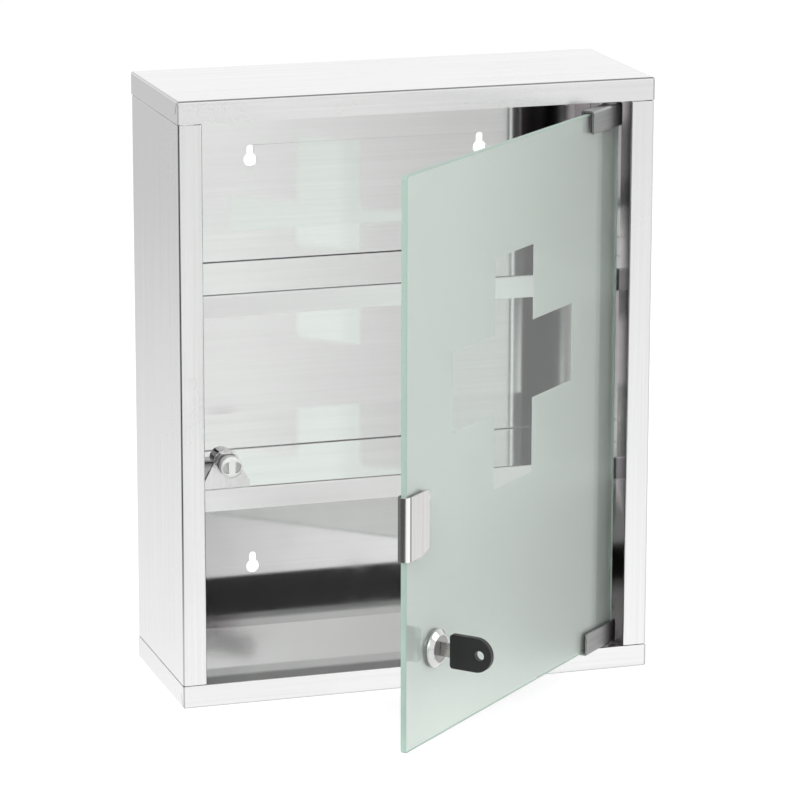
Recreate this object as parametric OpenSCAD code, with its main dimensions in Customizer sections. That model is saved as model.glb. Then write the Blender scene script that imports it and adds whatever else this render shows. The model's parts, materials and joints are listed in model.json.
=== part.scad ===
// Lockable wall cabinet for medicines. A folded sheet steel body holds two fixed
// shelves. A frosted glass door turns on two pivot pins, is held shut by a magnetic
// catch, and locks with a keyed cam that hooks behind the left post.
// Origin: centre of the underside. +X is right, +Y is towards the wall, +Z is up.

/* [Body] */
// Outside width of the steel body
cabinet_w = 320; // [280:5:420]
// Outside height of the steel body
cabinet_h = 400; // [380:5:520]
// Outside depth of the steel body
cabinet_d = 120; // [110:5:180]
// Thickness of the sheet steel
sheet_t = 1; // [0.8:0.1:1.3]
// Outside radius of the folded edges of the caps and shelves
fold_r = 1.6; // [1.5:0.1:2.2]
// Height of the skirts folded on the top and bottom caps
skirt_h = 15; // [13:1:20]
// Width of the front posts, from the outside of the body
post_w = 16; // [14:1:22]
// Depth of the return folded behind each post, from the front face
post_return = 18; // [17:0.5:20]
// Width of the rear flanges that carry the back panel
rear_flange = 12; // [8:1:18]
// Open seam between a post and a cap
seam = 0.5; // [0.3:0.1:1]
// Width of the relief slits at the front corners of the caps
slit_w = 0.7; // [0.3:0.1:0.8]
// Length of the relief slits
slit_len = 9; // [6:1:11]

/* [Keyholes] */
// Spacing of the wall keyholes across the back
keyhole_x = 160; // [120:5:200]
// Spacing of the wall keyholes up the back
keyhole_z = 280; // [200:5:300]
// Height of the lower keyholes above the base
keyhole_base = 57; // [45:1:70]
// Radius of the round entry of a keyhole
keyhole_r = 4.6; // [4:0.1:6]
// Width of the slot of a keyhole
keyhole_slot = 5; // [4:0.1:6]
// Rise from the round entry to the seat of the slot
keyhole_rise = 7.6; // [7:0.1:10]

/* [Shelves] */
// Height of the top face of the lower shelf
lower_shelf_top = 140; // [130:1:170]
// Height of the top face of the upper shelf
upper_shelf_top = 269; // [245:1:300]
// Height of the lip folded on the edges of a shelf
shelf_lip = 15; // [10:1:20]
// Distance of the shelf fronts behind the front of the body
shelf_setback = 23; // [23:1:40]
// Clearance round the ends and back of a shelf
shelf_gap = 0.2; // [0.1:0.1:0.5]

/* [Door] */
// Angle at which the door stands open at rest
door_open = 43; // [0:1:90]
// Thickness of the door glass
glass_t = 4; // [4:0.5:5]
// Radius of the glass corners
glass_corner_r = 2; // [1:0.5:5]
// Distance of the glass behind the front of the body
door_recess = 3; // [3:0.1:4]
// Gap between the glass and each post
door_gap = 3.5; // [3:0.1:5]
// Thickness of the frosted film on the back of the glass
film_t = 0.2; // [0.1:0.1:0.3]
// Distance of the film inside the glass edges
film_inset = 1; // [0.5:0.5:3]
// Width across the clear cross in the film
cross_w = 159; // [120:1:180]
// Height of the clear cross
cross_h = 149; // [120:1:180]
// Width of the bars of the clear cross
cross_bar = 51; // [35:1:60]
// Height of the middle of the cross above the lower edge of the glass
cross_rise = 216; // [190:1:230]

/* [Hinges] */
// Length of each hinge clip along the glass
clip_len = 41; // [32:1:60]
// Height of each hinge clip
clip_h = 15; // [13:1:22]
// Thickness of the clip metal
clip_t = 1.6; // [1.2:0.1:1.8]
// Thickness of the gasket on each face of the glass
gasket_face = 1; // [0.8:0.1:1.2]
// Thickness of the gasket on the edge of the glass
gasket_edge = 0.6; // [0.4:0.1:1.2]
// Distance of the pivot axis inside the hinge edge of the glass
pivot_inset = 9.5; // [9:0.5:11]
// Diameter of the pivot pins
pin_d = 4; // [3:0.5:4.5]
// Radial clearance of a pin in its bush
pin_clear = 0.05; // [0.03:0.01:0.1]
// Wall of the pivot bushes
bush_wall = 0.95; // [0.8:0.05:1.2]
// Width of the rim of the pivot bushes
bush_rim = 0.7; // [0.4:0.1:0.8]
// Gap between a hinge clip and its bracket, filled by the washer
hinge_gap = 1.8; // [1.2:0.1:3]
// Diameter of the thrust washers
washer_d = 9; // [8:0.5:9.5]
// Clearance on each face of a thrust washer
washer_clear = 0.1; // [0.05:0.05:0.2]
// Thickness of the hinge brackets
bracket_t = 1.5; // [1:0.1:2]
// Width of the hinge brackets
bracket_w = 24; // [20:1:25]
// Diameter of the clamp screws in the clips
clamp_d = 4; // [3:0.5:5]
// Distance of the clamp screws from the ends of a clip
clamp_inset = 10; // [8:0.5:12]

/* [Handle] */
// Height of the pull handle
handle_h = 40.8; // [30:0.2:60]
// Height of the handle above the lower shelf
handle_lift = 1.8; // [0:0.2:3]
// Reach of the handle plates over the glass
handle_w = 25; // [25:1:32]
// Thickness of the handle metal
handle_t = 1.2; // [1:0.1:1.4]
// Outside radius of the handle where it is folded round the edge of the glass
handle_r = 4.3; // [4.2:0.1:4.5]
// Distance of the outside of that fold from the edge of the glass
handle_side = 2.6; // [2.4:0.1:2.7]
// Width of the cut at the lower corner of the front plate
corner_cut_w = 8; // [5:1:12]
// Height of the cut at the lower corner of the front plate
corner_cut_h = 3.5; // [2:0.5:8]

/* [Catch] */
// Distance of the catch from the free edge of the glass
catch_inset = 17; // [16:0.5:18]
// Height of the catch above the lower shelf
catch_rise = 17; // [16:0.5:22]
// Diameter of the catch head
catch_d = 14.4; // [14:0.2:16]
// Length of the catch head
catch_head = 6; // [5:0.5:7]
// Diameter of the catch shank
catch_shank_d = 11; // [10:0.5:12]
// Gap between the catch and the closed handle
catch_gap = 0.3; // [0.2:0.1:1]
// Thickness of the catch bracket
catch_plate_t = 1.2; // [1:0.1:1.5]
// Width of the foot of the catch bracket
catch_foot_w = 31; // [28:1:33]
// Depth of the catch housing behind the bracket
catch_box_d = 15; // [12:1:20]
// Height of the arm of the catch housing that reaches to the side of the body
catch_arm_h = 16.5; // [12:0.5:17]
// Diameter of the catch magnet
magnet_d = 5; // [4:0.5:6]

/* [Lock] */
// Distance of the lock from the free edge of the glass
lock_inset = 37; // [34:0.5:42]
// Height of the lock above the lower edge of the glass
lock_rise = 58.5; // [52:0.5:62]
// Diameter of the chrome rim
rim_d = 24.5; // [23:0.5:28]
// Height of the rim in front of its gasket
rim_h = 3.6; // [3:0.1:4.5]
// Diameter of the lock barrel
barrel_d = 18.6; // [18:0.1:19]
// Clearance between the barrel and the hole in the glass
barrel_clear = 0.4; // [0.2:0.1:0.6]
// Diameter of the lock plug
plug_d = 12.9; // [12.5:0.1:13.2]
// Radial clearance of the plug in the barrel
plug_clear = 0.05; // [0.03:0.01:0.1]
// Diameter of the face of the plug
plug_face_d = 17; // [15:0.5:17]
// Thickness of the face of the plug
plug_face_h = 1.3; // [1:0.1:1.6]
// Thickness of the gasket under the rim
rim_gasket_t = 0.6; // [0.4:0.1:1]
// Thickness of the washer under the lock nut
nut_washer_t = 1; // [0.8:0.1:1.2]
// Thickness of the lock nut
nut_t = 4; // [3:0.5:5]
// Width of the lock nut across its flats
nut_flats = 24; // [23:0.5:27]
// Thickness of the cam
cam_t = 2; // [1.5:0.1:2.1]
// Width of the cam arm
cam_w = 16; // [12:1:19]
// Length of the cam that hooks behind the post return
cam_hook = 6; // [4:0.5:8]
// Clearance between the cam and the post return
cam_clear = 0.4; // [0.3:0.1:0.6]
// Side of the square tail that drives the cam
tail_w = 7; // [6:0.5:8]
// Diameter of the cam screw
cam_screw_d = 4; // [3:0.5:4]
// Number of wafers in the plug
wafer_count = 5; // [3:1:5]
// Spacing of the wafers
wafer_pitch = 2.2; // [2:0.1:2.3]
// Thickness of a wafer
wafer_t = 1; // [0.8:0.1:1.1]

/* [Key] */
// Height of the key blade
blade_h = 6.4; // [5.6:0.2:6.6]
// Thickness of the key blade
blade_w = 2.2; // [1.8:0.1:2.6]
// Height of the shoulder of the key, outside the lock
shoulder_h = 8.8; // [7:0.2:10]
// Clearance of the blade in the keyway
blade_clear = 0.3; // [0.2:0.05:0.3]
// Length of bare blade between the lock and the head of the key
blade_neck = 7; // [6:0.5:12]
// Length of the plastic head of the key
head_len = 29; // [28:1:36]
// Height of the plastic head of the key
head_h = 22; // [20:1:30]
// Thickness of the plastic head of the key
head_t = 3.6; // [3.4:0.1:6]
// Radius of the ring hole in the head
ring_hole_r = 3.2; // [2:0.1:4]

/* [Hidden] */
$fn = 64;
eps = 0.01;

// Body
half_w = cabinet_w / 2;
half_d = cabinet_d / 2;
fold_in = fold_r - sheet_t;
opening_x = half_w - post_w;
wall_in = half_w - 2 * sheet_t;
return_back = -half_d + post_return;
slit_lean = 27;
strip_lap = 8;
bend_in = 0.3;
post_fold_r = sheet_t + bend_in;

// Door, drawn shut and then turned open about the pivot axis
glass_x = opening_x - door_gap;
glass_bottom = skirt_h + hinge_gap + clip_t + gasket_edge;
glass_top = cabinet_h - glass_bottom;
glass_front = -half_d + door_recess;
glass_back = glass_front + glass_t;
film_back = glass_back + film_t;
pivot_x = glass_x - pivot_inset;
pivot_y = glass_front + glass_t / 2;
bush_d = pin_d + 2 * (pin_clear + bush_wall);

// Hinge clips
clip_front = glass_front - gasket_face;
clip_back = film_back + gasket_face;
clip_bend = clip_t + bend_in;
clip_web = skirt_h + hinge_gap;
clamp_z = clip_web + clip_t + (clip_h - clip_t) / 2;
pin_tail = 2.5;

// Handle and catch
handle_z = lower_shelf_top + handle_lift;
handle_in = handle_r - handle_t;
handle_fold_x = -glass_x - handle_side + handle_r;
handle_back = pivot_y + handle_r;
handle_reach = -glass_x + handle_w;
catch_x = -glass_x + catch_inset;
catch_z = lower_shelf_top + catch_rise;
catch_face = handle_back + catch_gap;
catch_plate_front = -half_d + shelf_setback + 0.5;
catch_plate_back = catch_plate_front + catch_plate_t;
catch_back = catch_plate_back + catch_box_d;
catch_back_wall = 2;
catch_plate_w = catch_d + 3;
catch_toe_h = 4;
catch_heel = 4;
catch_nut_t = 4;
catch_nut_margin = 1;
catch_thread_clear = 0.2;
catch_rib = 4.5;
catch_slot_r = 3.9;
catch_slot_depth = 2.6;
pole_clear = 0.3;
pole_sunk = 1.4;
magnet_front = catch_face + catch_slot_depth + 0.8;
magnet_len = 8;
magnet_clear = 0.1;

// Lock, along its own axis
lock_x = -glass_x + lock_inset;
lock_z = glass_bottom + lock_rise;
rim_back = glass_front - rim_gasket_t;
rim_front = rim_back - rim_h;
cam_front = return_back + cam_clear;
cam_back = cam_front + cam_t;
cam_play = 0.4;
barrel_end = cam_front - cam_play;
plug_sunk = 0.2;
plug_front = rim_front + plug_sunk;
seat_clear = 0.1;
face_back = plug_front + plug_face_h;
cam_reach = lock_inset + door_gap + sheet_t + cam_hook;
cam_washer_t = 0.8;
cam_screw_len = 3.5;
keyway_end = cam_front - cam_screw_len - 1.9;
wafer_first = face_back + 1.6;
wafer_w = 8;
wafer_h = 10;
wafer_slot_clear = 0.1;
wafer_lift = 1;
blade_tip = keyway_end - 0.2;
shoulder_gap = 0.3;
head_in = rim_front - blade_neck;
head_grip = 12;

// Sheet bent at right angles: points run along the middle of its thickness
module bent_strip(points, t, r) {
    last = len(points) - 1;
    mid_r = r - t / 2;
    for (i = [0:last - 1]) {
        run = points[i + 1] - points[i];
        way = run / norm(run);
        begin = points[i] + (i > 0 ? way * mid_r : [0, 0]);
        end = points[i + 1] - (i < last - 1 ? way * mid_r : [0, 0]);
        translate((begin + end) / 2)
            rotate(atan2(way[1], way[0]))
                square([norm(end - begin), t], center = true);
    }
    for (i = [1:1:last - 1]) {
        before = (points[i] - points[i - 1]) / norm(points[i] - points[i - 1]);
        after = (points[i + 1] - points[i]) / norm(points[i + 1] - points[i]);
        translate(points[i] + (after - before) * mid_r)
            intersection() {
                difference() {
                    circle(r);
                    circle(r - t);
                }
                polygon([[0, 0], before * 2 * r, (before - after) * 2 * r, -after * 2 * r]);
            }
    }
}

// Rectangle with round corners, centred
module round_rect(w, h, r) {
    square([w - 2 * r, h], center = true);
    square([w, h - 2 * r], center = true);
    for (x = [-1, 1], y = [-1, 1])
        translate([x * (w / 2 - r), y * (h / 2 - r)]) circle(r);
}

// Draws a flat shape of (Y, Z) and gives it a width along X from x0
module across(x0, width) {
    translate([x0, 0, 0]) rotate([90, 0, 90]) linear_extrude(width) children();
}

// Draws a flat shape of (X, Z) and gives it a depth along Y from y0
module deep(y0, depth) {
    translate([0, y0 + depth, 0]) rotate([90, 0, 0]) linear_extrude(depth) children();
}

// Turns a piece drawn at the bottom over to the top of the cabinet
module at_top() {
    translate([0, 0, cabinet_h]) mirror([0, 0, 1]) children();
}

// Turns a piece of the shut door open about the pivot axis
module on_door() {
    translate([pivot_x, pivot_y, 0])
        rotate(door_open)
            translate([-pivot_x, -pivot_y, 0]) children();
}

// Places a piece drawn along Z on the lock axis, so that its Z becomes the door's Y
module on_lock() {
    on_door() translate([lock_x, 0, lock_z]) rotate([-90, 0, 0]) children();
}

// Places a piece drawn along Z on the catch axis
module on_catch() {
    translate([catch_x, 0, catch_z]) rotate([-90, 0, 0]) children();
}

// Tube along Z from z0 to z1
module ring(z0, z1, outer, inner) {
    translate([0, 0, z0])
        difference() {
            cylinder(h = z1 - z0, r = outer);
            translate([0, 0, -1]) cylinder(h = z1 - z0 + 2, r = inner);
        }
}

// Rod along Z from z0 to z1
module rod(z0, z1, r) {
    translate([0, 0, z0]) cylinder(h = z1 - z0, r = r);
}

// Block whose lower left, right and front edges are rounded, standing on z = 0
module cap_block(w, front, back, h, r) {
    intersection() {
        deep(front, back - front) {
            translate([-w / 2, r]) square([w, h - r]);
            translate([-w / 2 + r, 0]) square([w - 2 * r, r + eps]);
            for (side = [-1, 1]) translate([side * (w / 2 - r), r]) circle(r);
        }
        across(-w / 2, w) {
            translate([front, r]) square([back - front, h - r]);
            translate([front + r, 0]) square([back - front - r, r + eps]);
            translate([front + r, r]) circle(r);
        }
    }
}

// Shallow tray that closes the body: three skirts outside and one in front of the back panel
module cap() {
    difference() {
        cap_block(cabinet_w, -half_d, half_d, skirt_h, fold_r);
        translate([0, 0, sheet_t])
            cap_block(cabinet_w - 2 * sheet_t, -half_d + sheet_t, half_d + 1, skirt_h, fold_in);
        translate([-half_w - 1, -half_d + sheet_t + slit_w, sheet_t])
            rotate([-slit_lean, 0, 0]) cube([cabinet_w + 2, slit_w, slit_len]);
    }
    translate([-wall_in, half_d - 2 * sheet_t, sheet_t - eps])
        cube([2 * wall_in, sheet_t, skirt_h - sheet_t + eps]);
}

module top_cap() {
    color("whitesmoke") at_top() cap();
}

module bottom_cap() {
    color("whitesmoke") cap();
}

// Left side: rear flange, wall, post and return in one folded sheet, flush with the caps,
// with a welded strip at each end that stands inside the skirts of a cap
module side() {
    wall_x = -half_w + sheet_t / 2;
    post_x = -opening_x - sheet_t / 2;
    front_y = -half_d + sheet_t / 2;
    rear_y = half_d - 1.5 * sheet_t;
    post_z = skirt_h + seam;
    translate([0, 0, post_z])
        linear_extrude(cabinet_h - 2 * post_z)
            bent_strip([
                [wall_x + rear_flange, rear_y],
                [wall_x, rear_y],
                [wall_x, front_y],
                [post_x, front_y],
                [post_x, return_back]
            ], sheet_t, post_fold_r);
    strip_d = cabinet_d - fold_r - 2 * sheet_t - fold_in;
    for (z = [fold_r, cabinet_h - post_z - strip_lap])
        translate([-half_w + sheet_t, -half_d + fold_r, z])
            cube([sheet_t, strip_d, post_z + strip_lap - fold_r]);
    // Weld that ties each strip to the wall over their lap
    for (z = [post_z, cabinet_h - post_z - strip_lap])
        translate([-half_w + sheet_t - eps, -half_d + fold_r + eps, z + eps])
            cube([2 * eps, strip_d - 2 * eps, strip_lap - 2 * eps]);
}

module left_side() {
    color("gainsboro") side();
}

module right_side() {
    color("gainsboro") mirror([1, 0, 0]) side();
}

// Keyhole outline with its round entry at the origin
module keyhole() {
    circle(keyhole_r);
    translate([-keyhole_slot / 2, 0]) square([keyhole_slot, keyhole_rise]);
    translate([0, keyhole_rise]) circle(keyhole_slot / 2);
}

module back_panel() {
    color("silver")
        deep(half_d - sheet_t, sheet_t)
            difference() {
                translate([-half_w + sheet_t, sheet_t])
                    square([cabinet_w - 2 * sheet_t, cabinet_h - 2 * sheet_t]);
                for (x = [-1, 1], row = [0, 1])
                    translate([x * keyhole_x / 2, keyhole_base + row * keyhole_z]) keyhole();
            }
}

// Shelf with a lip folded down on each of its four edges
module shelf(top) {
    front = -half_d + shelf_setback;
    back = half_d - 2 * sheet_t - shelf_gap;
    end_x = half_w - sheet_t - shelf_gap;
    across(-end_x, 2 * end_x)
        bent_strip([
            [front + sheet_t / 2, top - shelf_lip],
            [front + sheet_t / 2, top - sheet_t / 2],
            [back - sheet_t / 2, top - sheet_t / 2],
            [back - sheet_t / 2, top - shelf_lip]
        ], sheet_t, fold_r);
    for (x = [-end_x, end_x - sheet_t])
        translate([x, front + 2 * fold_r, top - shelf_lip])
            cube([sheet_t, back - front - 4 * fold_r, shelf_lip - sheet_t + eps]);
}

module upper_shelf() {
    color("lightgray") shelf(upper_shelf_top);
}

module lower_shelf() {
    color("lightgray") shelf(lower_shelf_top);
}

// Bent bracket welded inside a cap, with the tab that carries the pivot
module hinge_bracket() {
    skirt_gap = 0.3;
    rim_gap = 3;
    foot_len = 16;
    tab_z = skirt_h - bracket_t / 2;
    foot_z = sheet_t + bracket_t / 2;
    rise_y = pivot_y + bush_d / 2 + bush_rim + bracket_t + rim_gap;
    difference() {
        across(pivot_x - bracket_w / 2, bracket_w)
            bent_strip([
                [-half_d + sheet_t + skirt_gap, tab_z],
                [rise_y, tab_z],
                [rise_y, foot_z],
                [rise_y + foot_len, foot_z]
            ], bracket_t, bracket_t + bend_in);
        translate([pivot_x, pivot_y, 0]) rod(skirt_h - bracket_t - 1, skirt_h + 1, bush_d / 2);
    }
}

module bottom_hinge_bracket() {
    color("silver") hinge_bracket();
}

module top_hinge_bracket() {
    color("silver") at_top() hinge_bracket();
}

// Flanged bush seated in the tab of a hinge bracket
module pivot_bush() {
    rim_t = 1;
    bore = pin_d / 2 + pin_clear;
    tab_in = skirt_h - bracket_t;
    translate([pivot_x, pivot_y, 0])
        difference() {
            union() {
                rod(tab_in - rim_t, skirt_h, bush_d / 2);
                rod(tab_in - rim_t, tab_in, bush_d / 2 + bush_rim);
            }
            rod(tab_in - rim_t - 1, skirt_h + 1, bore);
        }
}

module bottom_pivot_bush() {
    color("ivory") pivot_bush();
}

module top_pivot_bush() {
    color("ivory") at_top() pivot_bush();
}

// Bracket of the catch: a foot on the lower shelf and a plate that narrows round the shank
module catch_bracket() {
    toe_z = lower_shelf_top + catch_toe_h;
    color("gainsboro") {
        deep(catch_plate_front, catch_plate_t)
            difference() {
                union() {
                    translate([catch_x, catch_z]) circle(catch_plate_w / 2);
                    polygon([
                        [catch_x - catch_foot_w / 2, lower_shelf_top],
                        [catch_x + catch_foot_w / 2, lower_shelf_top],
                        [catch_x + catch_foot_w / 2, toe_z],
                        [catch_x + catch_plate_w / 2, catch_z],
                        [catch_x - catch_plate_w / 2, catch_z],
                        [catch_x - catch_foot_w / 2, toe_z]
                    ]);
                }
                translate([catch_x, catch_z]) circle(catch_shank_d / 2 + catch_thread_clear);
            }
        translate([catch_x - catch_foot_w / 2, catch_plate_front + eps, lower_shelf_top])
            cube([catch_foot_w, catch_back + catch_heel - catch_plate_front, catch_plate_t]);
    }
}

// Housing behind the bracket: a block with a round top, bored for the shank, and a lower
// arm with a rounded front that reaches to the side of the body
module catch_housing() {
    block_r = catch_d / 2;
    floor_z = lower_shelf_top + catch_plate_t;
    arm_round = 6;
    arm_gap = 0.4;
    arm_x = -half_w + sheet_t + arm_gap;
    color("dimgray")
        difference() {
            union() {
                deep(catch_plate_back, catch_box_d) {
                    translate([catch_x, catch_z]) circle(block_r);
                    translate([catch_x - block_r, floor_z]) square([2 * block_r, catch_z - floor_z]);
                }
                translate([0, catch_plate_back, floor_z])
                    across(arm_x, catch_x - arm_x) {
                        square([catch_box_d, catch_arm_h - arm_round]);
                        translate([arm_round, 0]) square([catch_box_d - arm_round, catch_arm_h]);
                        translate([arm_round, catch_arm_h - arm_round]) circle(arm_round);
                    }
            }
            on_catch()
                rod(catch_plate_front, catch_back - catch_back_wall, catch_shank_d / 2 + catch_thread_clear);
        }
}

// Half-round outline of one recess of the catch head, less the given clearance
module catch_slot(side, clear) {
    intersection() {
        translate([side * catch_rib / 2, 0]) circle(catch_slot_r - clear);
        translate([side * (catch_rib / 2 + clear + catch_slot_r), 0])
            square(2 * catch_slot_r, center = true);
    }
}

// Head and hollow shank of the catch
module catch_barrel() {
    head_r = catch_d / 2;
    bevel_w = 1.6;
    bevel_d = 0.9;
    shank_end = catch_back - catch_back_wall - 1;
    color("white")
        on_catch()
            difference() {
                union() {
                    rotate_extrude()
                        polygon([
                            [0, catch_face],
                            [head_r - bevel_w, catch_face],
                            [head_r, catch_face + bevel_d],
                            [head_r, catch_face + catch_head],
                            [0, catch_face + catch_head]
                        ]);
                    rod(catch_face + catch_head - eps, shank_end, catch_shank_d / 2);
                }
                rod(magnet_front, shank_end + 1, magnet_d / 2 + magnet_clear);
                for (side = [-1, 1])
                    translate([0, 0, catch_face - 1])
                        linear_extrude(catch_slot_depth + 1) catch_slot(side, 0);
            }
}

// Hexagon nut that locks the shank against the bracket
module catch_nut() {
    color("dimgray")
        on_catch()
            translate([0, 0, catch_plate_front - catch_nut_t])
                difference() {
                    cylinder(h = catch_nut_t, r = catch_d / 2 + catch_nut_margin, $fn = 6);
                    translate([0, 0, -1])
                        cylinder(h = catch_nut_t + 2, r = catch_shank_d / 2 + catch_thread_clear);
                }
}

module catch_magnet() {
    color("dimgray") on_catch() rod(magnet_front, magnet_front + magnet_len, magnet_d / 2);
}

// Two steel pole plates at the bottom of the slots in the head
module catch_poles() {
    color("black")
        on_catch()
            for (side = [-1, 1])
                translate([0, 0, catch_face + pole_sunk])
                    linear_extrude(catch_slot_depth - pole_sunk) catch_slot(side, pole_clear);
}

// Outline of the glass, inset by the given distance
module glass_outline(inset) {
    translate([0, (glass_bottom + glass_top) / 2])
        round_rect(2 * (glass_x - inset), glass_top - glass_bottom - 2 * inset, glass_corner_r);
}

module lock_hole() {
    translate([lock_x, lock_z]) circle(barrel_d / 2 + barrel_clear);
}

module door_glass() {
    color("lightcyan", 0.5)
        on_door()
            deep(glass_front, glass_t)
                difference() {
                    glass_outline(0);
                    lock_hole();
                }
}

// Frosted layer with the clear cross left open
module frosted_film() {
    color("darkseagreen", 0.8)
        on_door()
            deep(glass_back, film_t)
                difference() {
                    glass_outline(film_inset);
                    lock_hole();
                    translate([0, glass_bottom + cross_rise]) {
                        square([cross_w, cross_bar], center = true);
                        square([cross_bar, cross_h], center = true);
                    }
                }
}

// Channel over the lower edge of the glass, tapped for its clamp screws
module hinge_clip() {
    front_y = clip_front - clip_t / 2;
    back_y = clip_back + clip_t / 2;
    difference() {
        across(glass_x - clip_len, clip_len)
            bent_strip([
                [front_y, clip_web + clip_h],
                [front_y, clip_web + clip_t / 2],
                [back_y, clip_web + clip_t / 2],
                [back_y, clip_web + clip_h]
            ], clip_t, clip_bend);
        translate([pivot_x, pivot_y, 0]) rod(clip_web - 1, clip_web + clip_t + 1, pin_d / 2);
        clamp_places() rod(clip_back - 1, clip_back + clip_t + 1, clamp_d / 2);
    }
}

// Places a piece drawn along Z at each clamp screw of a clip
module clamp_places() {
    for (x = [glass_x - clip_len + clamp_inset, glass_x - clamp_inset])
        translate([x, 0, clamp_z]) rotate([-90, 0, 0]) children();
}

module bottom_hinge_clip() {
    color("darkgray") on_door() hinge_clip();
}

module top_hinge_clip() {
    color("darkgray") on_door() at_top() hinge_clip();
}

// Gasket that lines a clip round the edge of the glass
module clip_gasket() {
    inset = 0.5;
    inner_z = clip_web + clip_t;
    top_z = clip_web + clip_h - inset;
    across(glass_x - clip_len + inset, clip_len - 2 * inset)
        difference() {
            polygon([
                [clip_front, top_z],
                [clip_front, inner_z + bend_in],
                [clip_front + bend_in, inner_z],
                [clip_back - bend_in, inner_z],
                [clip_back, inner_z + bend_in],
                [clip_back, top_z]
            ]);
            translate([glass_front, glass_bottom]) square([film_back - glass_front, clip_h]);
        }
}

module bottom_clip_gasket() {
    color("dimgray") on_door() clip_gasket();
}

module top_clip_gasket() {
    color("dimgray") on_door() at_top() clip_gasket();
}

// Clamp screw with a hexagon socket
module clamp_screw() {
    proud = 0.6;
    socket_depth = 1.2;
    end = clip_back + clip_t + proud;
    difference() {
        rod(clip_back, end, clamp_d / 2);
        translate([0, 0, end - socket_depth]) cylinder(h = socket_depth + 1, r = clamp_d * 0.28, $fn = 6);
    }
}

module clamp_screws() {
    color("silver")
        on_door() {
            clamp_places() clamp_screw();
            at_top() clamp_places() clamp_screw();
        }
}

// Pin pressed into a clip, running in the bush of its bracket
module pivot_pin() {
    translate([pivot_x, pivot_y, 0]) rod(skirt_h - bracket_t - pin_tail, clip_web + clip_t, pin_d / 2);
}

module bottom_pivot_pin() {
    color("silver") on_door() pivot_pin();
}

module top_pivot_pin() {
    color("silver") on_door() at_top() pivot_pin();
}

// Washer between a clip and its bracket
module thrust_washer() {
    translate([pivot_x, pivot_y, 0])
        ring(skirt_h + washer_clear, clip_web - washer_clear, washer_d / 2, pin_d / 2 + pin_clear);
}

module thrust_washers() {
    color("ivory")
        on_door() {
            thrust_washer();
            at_top() thrust_washer();
        }
}

// Outline, seen from above, of the space inside a fold of the given radius round the glass
module handle_fold(r, reach_x) {
    translate([handle_fold_x, pivot_y]) circle(r);
    translate([handle_fold_x, pivot_y - r]) square([reach_x - handle_fold_x, 2 * r]);
}

// Handle folded round the free edge of the glass
module pull_handle() {
    front_y = pivot_y - handle_r;
    color("silver")
        on_door()
            difference() {
                translate([0, 0, handle_z])
                    linear_extrude(handle_h)
                        difference() {
                            handle_fold(handle_r, handle_reach);
                            handle_fold(handle_in, handle_reach + 1);
                        }
                deep(front_y - 1, handle_t + 1 + eps)
                    polygon([
                        [handle_reach - corner_cut_w, handle_z - eps],
                        [handle_reach + eps, handle_z - eps],
                        [handle_reach + eps, handle_z + corner_cut_h]
                    ]);
            }
}

// Gasket between the handle and the glass
module handle_gasket() {
    inset = 0.5;
    color("dimgray")
        on_door()
            translate([0, 0, handle_z + corner_cut_h])
                linear_extrude(handle_h - corner_cut_h - inset)
                    difference() {
                        handle_fold(handle_in, handle_reach - 2 * inset);
                        translate([-glass_x, glass_front]) square([handle_w, film_back - glass_front]);
                    }
}

// Barrel of the lock with its bevelled rim, bored for the plug and grooved for the wafers
module lock_barrel() {
    rim_r = rim_d / 2;
    bevel_w = 2.8;
    bevel_d = 2.3;
    groove_front = wafer_first - wafer_t;
    groove_back = wafer_first + (wafer_count - 1) * wafer_pitch + wafer_t;
    groove_h = wafer_h + 2 * wafer_lift + 3;
    groove_w = wafer_w + 4 * wafer_slot_clear;
    color("silver")
        on_lock()
            difference() {
                union() {
                    rotate_extrude()
                        polygon([
                            [0, rim_front],
                            [rim_r - bevel_w, rim_front],
                            [rim_r, rim_front + bevel_d],
                            [rim_r, rim_back],
                            [0, rim_back]
                        ]);
                    rod(rim_back - eps, barrel_end, barrel_d / 2);
                }
                rod(rim_front - 1, face_back + seat_clear, plug_face_d / 2 + seat_clear);
                rod(rim_front, barrel_end + 1, plug_d / 2 + plug_clear);
                translate([-groove_w / 2, -groove_h / 2, groove_front])
                    cube([groove_w, groove_h, groove_back - groove_front]);
            }
}

module rim_gasket() {
    color("black") on_lock() ring(rim_back, glass_front, rim_d / 2 - 0.5, barrel_d / 2 + seat_clear);
}

module nut_washer() {
    color("silver")
        on_lock()
            ring(film_back, film_back + nut_washer_t, nut_flats / 2 + 1, barrel_d / 2 + seat_clear);
}

// Hexagon nut that clamps the barrel to the glass
module lock_nut() {
    color("silver")
        on_lock()
            translate([0, 0, film_back + nut_washer_t])
                difference() {
                    cylinder(h = nut_t, r = nut_flats / 2 / cos(30), $fn = 6);
                    translate([0, 0, -1]) cylinder(h = nut_t + 2, r = barrel_d / 2 + seat_clear / 2);
                }
}

// Section of a key blade of height h, grown on every side by the given clearance
module blade_section(h, grow) {
    side = blade_w / 2 + grow;
    edge = h / 2 + grow;
    rib = 0.9 + grow;
    lap = 0.3 + grow;
    translate([-side, -rib]) square([2 * side, 2 * rib]);
    translate([-side, 0]) square([side + lap, edge]);
    translate([-lap, -edge]) square([side + lap, edge]);
}

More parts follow.
